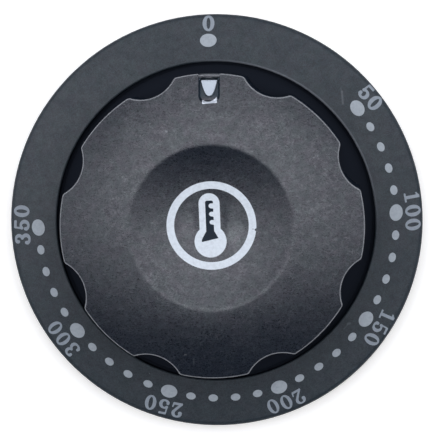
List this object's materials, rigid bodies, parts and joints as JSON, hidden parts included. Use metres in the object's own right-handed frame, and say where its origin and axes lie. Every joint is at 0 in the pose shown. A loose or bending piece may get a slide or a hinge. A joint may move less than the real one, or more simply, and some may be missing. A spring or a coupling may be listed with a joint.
{
  "type": "oven control knob",
  "caption": "Round oven knob: a scalloped grip with a dished face and a pointer turns in a fixed dial ring that carries a temperature scale.",
  "frame": {"origin": "centre of the dial ring's back face, where it lies on the panel", "axes": "+Z along the knob's axis out of the panel, +Y towards the zero mark of the dial, +X to the right of the scale"},
  "size_m": [0.076, 0.076, 0.023],
  "materials": {
    "grip_plastic": "spark-eroded satin black",
    "ring_plastic": "smooth satin black",
    "spring_steel": "bright rolled spring steel",
    "seal_rubber": "smooth",
    "gasket_rubber": "matt silicone"
  },
  "bodies": {
    "dial": {"dial_ring": "ring_plastic", "panel_gasket": "gasket_rubber"},
    "grip_body": {"grip": "grip_plastic", "shaft_spring": "spring_steel", "retaining_ring": "spring_steel", "hub_seal": "seal_rubber"}
  },
  "joints": [
    {"name": "grip_turn", "type": "hinge", "parent": "dial", "child": "grip_body", "pos_m": [0, 0, 0], "axis": [0, 0, 1], "range_deg": [-268.55, 1.45]}
  ]
}
